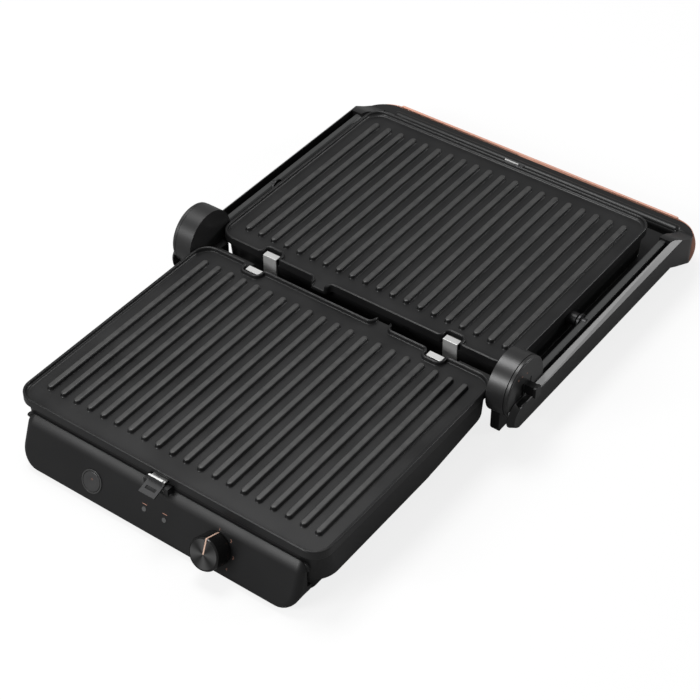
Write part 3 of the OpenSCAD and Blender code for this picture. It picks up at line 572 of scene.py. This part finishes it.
# ---- Pins and screws -----------------------------------------------------------------------------------
# Zinc-plated pan-head screws and ground steel pins, as they come; the lid's pivot bosses are blackened.
zinc = finish("zinc_plate", (0.42, 0.42, 0.4), (0.52, 0.52, 0.5), 0.35, metallic=1.0, grain=900.0)
blackened = finish("blackened_steel", (0.03, 0.03, 0.031), (0.045, 0.045, 0.046), 0.4, metallic=0.6)
for node in ("base_screws", "tower_screws", "arm_screws", "lid_screws", "knob_shaft", "regulator", "hinge_pins"):
    painted(node, zinc)
for node in ("latch_pin", "lid_latch_pin", "lid_pivot_pins"):
    painted(node, blackened)

# ---- Hinge towers and caps -----------------------------------------------------------------------------
# Each tower is a moulding with the drum, its web and its leg; a cap on the yoke's side closes the drum.
tower_satin = finish("tower_satin", (0.014, 0.014, 0.0142), (0.019, 0.019, 0.0193), 0.36, gloss=0.5)
for side in ("left", "right"):
    dressed(side + "_hinge_tower", tower_satin, 0.9, 3)
    dressed(side + "_hinge_cap", tower_satin, 0.6, 3)

# ---- Controls ------------------------------------------------------------------------------------------
# The knob is black with a spun face and a rose copper line; the button is a dished cap in a ring, and two
# frosted lamps sit in the panel. Numbers and marks are pad-printed in the same copper.
copper = finish("rose_copper", (0.64, 0.31, 0.22), (0.71, 0.37, 0.265), 0.42, metallic=0.0, bump=0.06)
pointer_paint = finish("pointer_paint", (0.66, 0.44, 0.34), (0.72, 0.50, 0.39), 0.4, bump=0.05)
knob_black = finish("knob_black", (0.005, 0.005, 0.005), (0.008, 0.008, 0.008), 0.22, gloss=0.35)
button_cap = finish("button_cap", (0.026, 0.026, 0.0265), (0.036, 0.036, 0.0365), 0.3, gloss=0.6)
button_ring = finish("button_ring", (0.030, 0.030, 0.030), (0.040, 0.040, 0.040), 0.32, gloss=0.6)
lamp_lens = finish("lamp_lens", (0.075, 0.075, 0.075), (0.095, 0.095, 0.095), 0.35)
KNOB_FACE_OUT = 15.0           # from the panel to the knob's face, in mm
PAINTED_FANS, PAINTED_FAN_PHASE = 4.0, 0.6     # light fans of painted reflection round the spun face, and their turn in radians
RING_PITCH = 0.35 * MM         # from one turning mark to the next


def spun_metal_painted_fans():
    """A face turned on a lathe: fine rings, with light and dark fans that open from the centre, a reflection
    painted into its colour.
    """
    material, tree, shader = new_material("spun_face_painted_fans")
    nodes, links = tree.nodes, tree.links
    centre = on_panel(*KNOB_AT, KNOB_FACE_OUT)
    place = nodes.new("ShaderNodeTexCoord")
    turn = nodes.new("ShaderNodeMapping")
    turn.vector_type = "TEXTURE"
    turn.inputs["Location"].default_value = centre
    turn.inputs["Rotation"].default_value = (math.radians(90.0) - PANEL_TILT, 0.0, 0.0)
    links.new(place.outputs["Object"], turn.inputs["Vector"])
    parts = nodes.new("ShaderNodeSeparateXYZ")
    links.new(turn.outputs["Vector"], parts.inputs["Vector"])
    angle = nodes.new("ShaderNodeMath")
    angle.operation = "ARCTAN2"
    links.new(parts.outputs["Y"], angle.inputs[0])
    links.new(parts.outputs["X"], angle.inputs[1])
    fans = nodes.new("ShaderNodeMath")
    fans.operation = "MULTIPLY"
    fans.inputs[1].default_value = PAINTED_FANS
    links.new(angle.outputs["Value"], fans.inputs[0])
    phase = nodes.new("ShaderNodeMath")
    phase.operation = "ADD"
    phase.inputs[1].default_value = PAINTED_FAN_PHASE
    links.new(fans.outputs["Value"], phase.inputs[0])
    painted_fan_wave = nodes.new("ShaderNodeMath")
    painted_fan_wave.operation = "SINE"
    links.new(phase.outputs["Value"], painted_fan_wave.inputs[0])
    # painted reflection: the light and dark fans go into the face's base colour
    tone = nodes.new("ShaderNodeValToRGB")
    tone.color_ramp.elements[0].color = (0.016, 0.016, 0.016, 1.0)
    tone.color_ramp.elements[1].color = (0.085, 0.085, 0.085, 1.0)
    shift = nodes.new("ShaderNodeMapRange")
    shift.inputs["From Min"].default_value = -1.0
    shift.inputs["From Max"].default_value = 1.0
    links.new(painted_fan_wave.outputs["Value"], shift.inputs["Value"])
    links.new(shift.outputs["Result"], tone.inputs["Fac"])
    links.new(tone.outputs["Color"], shader.inputs["Base Color"])
    reach = nodes.new("ShaderNodeVectorMath")
    reach.operation = "LENGTH"
    links.new(turn.outputs["Vector"], reach.inputs[0])
    rings = nodes.new("ShaderNodeMath")
    rings.operation = "MULTIPLY"
    rings.inputs[1].default_value = 2.0 * math.pi / RING_PITCH
    links.new(reach.outputs["Value"], rings.inputs[0])
    groove = nodes.new("ShaderNodeMath")
    groove.operation = "SINE"
    links.new(rings.outputs["Value"], groove.inputs[0])
    relief = nodes.new("ShaderNodeBump")
    relief.inputs["Strength"].default_value = 0.25
    relief.inputs["Distance"].default_value = 0.02 * MM
    links.new(groove.outputs["Value"], relief.inputs["Height"])
    links.new(relief.outputs["Normal"], shader.inputs["Normal"])
    shader.inputs["Roughness"].default_value = 0.38
    shader.inputs["Metallic"].default_value = 0.5
    return material


def printed(name, outlines, body):
    """Pad print: thin raised shapes on the panel, given as (shape mesh, matrix) pairs."""
    print_mesh = bpy.data.meshes.new(name)
    shape = bmesh.new()
    for outline, matrix in outlines:
        part = outline.copy()
        part.transform(matrix)
        shape.from_mesh(part)
    bmesh.ops.recalc_face_normals(shape, faces=shape.faces)
    shape.to_mesh(print_mesh)
    shape.free()
    print_mesh.materials.append(copper_ink)
    piece = new_object(name, print_mesh)
    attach(piece, body)
    return piece


def numeral(text, height):
    """A plain numeral, as a thin flat solid centred on the origin."""
    curve = bpy.data.curves.new("numeral", "FONT")
    curve.body = text
    curve.size = height * 1.4 * MM
    curve.extrude = 0.02 * MM
    curve.align_x = "CENTER"
    curve.align_y = "CENTER"
    curve.resolution_u = 4
    holder = new_object("numeral", curve)
    bpy.context.view_layer.update()
    mesh = bpy.data.meshes.new_from_object(holder.evaluated_get(bpy.context.evaluated_depsgraph_get()))
    bpy.data.objects.remove(holder)
    mesh.materials.clear()
    return mesh


def bar_shape(width, height, thick=0.04):
    """A thin printed bar centred on the origin."""
    shape = bmesh.new()
    bmesh.ops.create_cube(shape, size=1.0)
    bmesh.ops.scale(shape, vec=(width * MM, height * MM, thick * MM), verts=shape.verts)
    mesh = bpy.data.meshes.new("bar")
    shape.to_mesh(mesh)
    shape.free()
    return mesh


def ring_shape(outer, inner, thick=0.04, steps=28, opening=0.0):
    """A thin printed ring round the origin, closed or with an opening at its top, in degrees."""
    shape = bmesh.new()
    span = 360.0 - opening
    loops = []
    count = steps if opening == 0.0 else steps + 1
    for index in range(count):
        turn = math.radians(90.0 + opening / 2 + span * index / steps)
        direction = Vector((math.cos(turn), math.sin(turn), 0.0))
        section = ((outer, -thick / 2), (outer, thick / 2), (inner, thick / 2), (inner, -thick / 2))
        loops.append([shape.verts.new(direction * r * MM + Vector((0.0, 0.0, z * MM))) for r, z in section])
    last = len(loops) if opening == 0.0 else len(loops) - 1
    for index in range(last):
        here, after = loops[index], loops[(index + 1) % len(loops)]
        for k in range(4):
            shape.faces.new((here[k], here[(k + 1) % 4], after[(k + 1) % 4], after[k]))
    if opening:
        shape.faces.new(loops[0])
        shape.faces.new(list(reversed(loops[-1])))
    mesh = bpy.data.meshes.new("ring")
    shape.to_mesh(mesh)
    shape.free()
    return mesh


spun_face_painted_fans = spun_metal_painted_fans()
copper_ink = finish("copper_ink", (0.30, 0.155, 0.115), (0.36, 0.19, 0.14), 0.5, gloss=0.3)
dressed("knob", knob_black, 0.35, 3)
dressed("knob_face", spun_face_painted_fans, 0.12)
painted("knob_pointer", pointer_paint)
dressed("power_button", button_cap, 0.5, 3)
dressed("button_bezel", button_ring, 0.35, 3)
painted("indicator_lenses", lamp_lens)
# heat settings round the knob, one small bar over each lamp
printed("panel_print", [
    (numeral(text, 2.6), panel_matrix(across, down, 0.02))
    for text, across, down in (("1", 60.4, 0.8), ("2", 72.2, 5.4), ("3", 77.0, 17.6), ("4", 73.4, 29.3))
] + [(bar_shape(4.6, 0.7), panel_matrix(across, down, 0.02)) for across, down in ((-10.2, 14.0), (9.6, 13.2))],
    "base")
# on-off sign in the dish of the button
printed("button_print", [
    (ring_shape(0.85, 0.62, opening=70.0), panel_matrix(-62.9, 17.4, 0.5)),
    (bar_shape(0.22, 0.9), panel_matrix(-62.9, 16.7, 0.52)),
], "power_button")

# ---- Drip tray -----------------------------------------------------------------------------------------
# A plain moulded tray that slides in below the spouts.
dressed("drip_tray", moulding, 0.5)

# ---- Yoke ----------------------------------------------------------------------------------------------
# Two moulded arms screwed to the handle, each with a grey chamfer, a lighter rail inside it and a thin shelf at
# the rail's foot. The handle has a round ridge, and its far face a rose copper moulding with a bead along its top.
yoke_black = finish("yoke_black", (0.007, 0.007, 0.0072), (0.010, 0.010, 0.0103), 0.36, gloss=0.3)
yoke_rail = finish("yoke_rail", (0.040, 0.041, 0.041), (0.050, 0.051, 0.051), 0.45, gloss=0.4)
arm_chamfer = finish("arm_chamfer", (0.20, 0.20, 0.20), (0.24, 0.24, 0.24), 0.45, spread=0.03, bump=0.04)


# a face of an arm is its chamfer where it lies and faces as these say, in mm from the part's origin
ARM_OUTSIDE, CHAMFER_LOWEST, CHAMFER_NEAR, CHAMFER_FAR = 171.9, 40.0, -6.0, 262.0
CHAMFER_SLOPE = (0.3, 0.93)
SMALLEST_CHAMFER = 0.2         # square mm
# the shelf's outline beside the right of the lid, as (x, y) in mm: along the rail, then round the lid's corner
SHELF_OUTLINE = [(160.9, 34.0), (160.9, 266.0), (120.0, 266.0), (120.0, 245.0), (129.0, 244.2), (135.6, 241.9),
                 (140.0, 238.6), (143.1, 234.9), (145.7, 231.2), (147.9, 225.6), (149.1, 219.0), (149.3, 34.0)]
SHELF_FOOT, SHELF_TOP = 30.5, 32.3


def shelf_shape(sign):
    """The thin shelf along the rail's foot that closes the gap beside the lid from below."""
    shape = bmesh.new()
    foot, top = ([shape.verts.new(PART_ORIGIN + Vector((sign * x, y, z)) * MM) for x, y in SHELF_OUTLINE]
                 for z in (SHELF_FOOT, SHELF_TOP))
    shape.faces.new(foot)
    shape.faces.new(top)
    for index in range(len(foot)):
        after = (index + 1) % len(foot)
        shape.faces.new((foot[index], foot[after], top[after], top[index]))
    bmesh.ops.recalc_face_normals(shape, faces=shape.faces)
    mesh = bpy.data.meshes.new("shelf")
    shape.to_mesh(mesh)
    shape.free()
    return mesh


for side, sign in (("left", -1.0), ("right", 1.0)):
    arm = dressed(side + "_arm", yoke_black, 0.35, 2)
    arm.data.materials.append(arm_chamfer)
    for face in arm.data.polygons:
        steep = face.normal.x * sign
        outside = (face.center.x - PART_ORIGIN.x) * sign > ARM_OUTSIDE * MM
        sloped = CHAMFER_SLOPE[0] < steep < CHAMFER_SLOPE[1] and face.area > SMALLEST_CHAMFER * MM * MM
        if outside and sloped and face.center.z > CHAMFER_LOWEST * MM:
            if CHAMFER_NEAR * MM < face.center.y - PART_ORIGIN.y < CHAMFER_FAR * MM:
                face.material_index = 1
    rail = dressed(side + "_arm_rail", yoke_rail, 0.4)
    rail.data.materials.append(yoke_black)
    shelf = shelf_shape(sign)
    for face in shelf.polygons:
        face.material_index = 1
    rail_shape = bmesh.new()
    rail_shape.from_mesh(rail.data)
    rail_shape.from_mesh(shelf)
    rail_shape.to_mesh(rail.data)
    rail_shape.free()
handle = dressed("handle_bar", yoke_black, 0.8, 3, 28.0)
RIDGE_LEFT, RIDGE_RIGHT, RIDGE_Y, RIDGE_Z, RIDGE_R = -146.0, 156.0, 279.5, 30.6, 5.4    # mm
BEAD_LEFT, BEAD_RIGHT, BEAD_FROM_BACK, BEAD_Z, BEAD_R = -151.0, 149.0, 2.6, 31.2, 1.7    # mm


def add_bead(piece, left, right, y, z, radius):
    """A round bead along X with round ends, added to the piece; in mm from the part's origin."""
    shape = bmesh.new()
    middle = PART_ORIGIN + Vector(((left + right) / 2, y, z)) * MM
    bmesh.ops.create_cone(shape, cap_ends=False, segments=32, radius1=radius * MM, radius2=radius * MM,
                          depth=(right - left) * MM,
                          matrix=Matrix.Translation(middle) @ Matrix.Rotation(math.radians(90.0), 4, "Y"))
    for end in (left, right):
        bmesh.ops.create_uvsphere(shape, u_segments=32, v_segments=16, radius=radius * MM,
                                  matrix=Matrix.Translation(PART_ORIGIN + Vector((end, y, z)) * MM))
    for face in shape.faces:
        face.smooth = True
    shape.from_mesh(piece.data)
    shape.to_mesh(piece.data)
    shape.free()


add_bead(handle, RIDGE_LEFT, RIDGE_RIGHT, RIDGE_Y, RIDGE_Z, RIDGE_R)
dressed("handle_grip_plate", yoke_black, 0.3)
trim = dressed("handle_trim", copper, 0.5, 3, joined=False)
trim_back = (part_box("handle_trim")[1][1] - PART_ORIGIN.y) / MM
add_bead(trim, BEAD_LEFT, BEAD_RIGHT, trim_back - BEAD_FROM_BACK, BEAD_Z, BEAD_R)
dressed("hinge_lever", yoke_black, 0.7, 3)
# three printed dots beside the lever show its two positions
cap_face = PART_ORIGIN.x + 171.3 * MM
printed("cap_print", [
    (ring_shape(0.75, 0.05, steps=16), Matrix.Translation((cap_face + 0.02 * MM, PART_ORIGIN.y + y * MM, z * MM))
     @ Matrix.Rotation(math.radians(90.0), 4, "Y"))
    for y, z in ((-12.1, 72.2), (-6.6, 72.3), (0.5, 71.2))
], "yoke")

# ---- Lid -----------------------------------------------------------------------------------------------
# A frame carries the upper plate and a deep cover closes it; both are the same satin moulding.
dressed("lid_frame", moulding, 0.6)
dressed("lid_cover", moulding, 1.0, 3)
